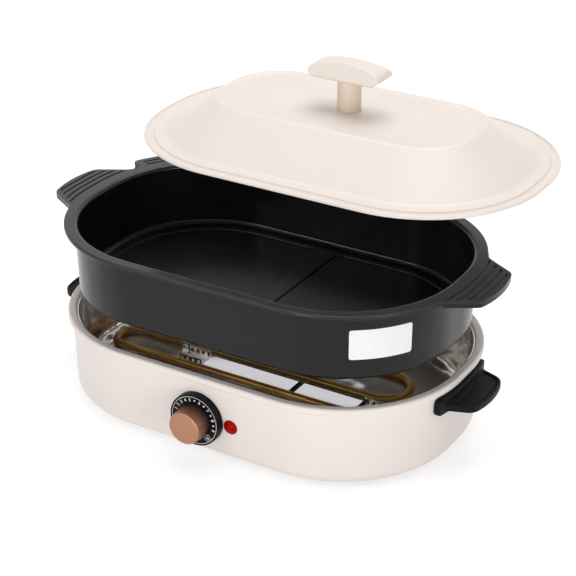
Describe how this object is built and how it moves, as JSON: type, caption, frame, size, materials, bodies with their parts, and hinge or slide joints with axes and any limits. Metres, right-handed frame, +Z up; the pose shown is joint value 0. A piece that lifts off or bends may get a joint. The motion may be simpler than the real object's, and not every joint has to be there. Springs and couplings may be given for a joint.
{
  "type": "electric roaster",
  "caption": "Tabletop electric roaster with a heated oblong base, a lift-out dark roasting pan and a lift-off domed lid, shown lifted apart above one another.",
  "frame": {"origin": "on the table, under the middle of the base", "axes": "X along the long side towards the right handle, Y from the dial to the back, Z up"},
  "size_m": [0.439, 0.3311, 0.3053],
  "materials": {
    "cream_enamel": "satin enamel",
    "beige_metal": "satin paint",
    "cream_plastic": "soft gloss",
    "black_plastic": "fine matt moulding",
    "black_rubber": "matt",
    "coated_casting": "dark non-stick coating on a casting",
    "bright_sheet": "polished",
    "steel_sheet": "plain sheet",
    "steel_parts": "plated",
    "tinted_tube": "heat-tinted golden brown",
    "white_ceramic": "unglazed ceramic",
    "red_lens": "clear red",
    "copper_cap": "copper-coloured satin plating"
  },
  "bodies": {
    "base": {"base_shell": "cream_enamel", "bottom_plate": "steel_sheet", "bottom_screws": "steel_parts", "feet": "black_rubber", "reflector_tray": "bright_sheet", "tray_standoffs": "steel_parts", "limit_thermostat": "black_plastic", "heating_element": "tinted_tube", "terminal_blocks": "white_ceramic", "heat_plate_left": "bright_sheet", "heat_plate_right": "bright_sheet", "element_bracket_left": "steel_sheet", "element_bracket_right": "steel_sheet", "tube_clips": "steel_sheet", "base_handle_left": "black_plastic", "base_handle_right": "black_plastic", "handle_screws": "steel_parts", "dial_plate": "black_plastic", "regulator": "white_ceramic", "lamp_lens": "red_lens", "lamp_retainer": "black_plastic", "cord_bushing": "black_rubber"},
    "knob": {"control_shaft": "steel_parts", "knob_core": "black_plastic", "knob_cap": "copper_cap"},
    "pan": {"pan_shell": "coated_casting"},
    "lid": {"lid_shell": "cream_enamel", "lid_stem": "beige_metal", "lid_grip": "cream_plastic", "lid_screw": "steel_parts", "lid_washer": "black_rubber"}
  },
  "joints": [
    {"name": "pan_lift", "type": "slide", "parent": "base", "child": "pan", "axis": [0, 0, 1], "range_m": [-0.08, 0.06]},
    {"name": "lid_lift", "type": "slide", "parent": "pan", "child": "lid", "axis": [0.3732, 0.6759, 0.6355], "range_m": [-0.0991, 0.05]},
    {"name": "knob_turn", "type": "hinge", "parent": "base", "child": "knob", "pos_m": [0, -0.128, 0.039], "axis": [0, 1, 0], "range_deg": [0, 270]}
  ]
}
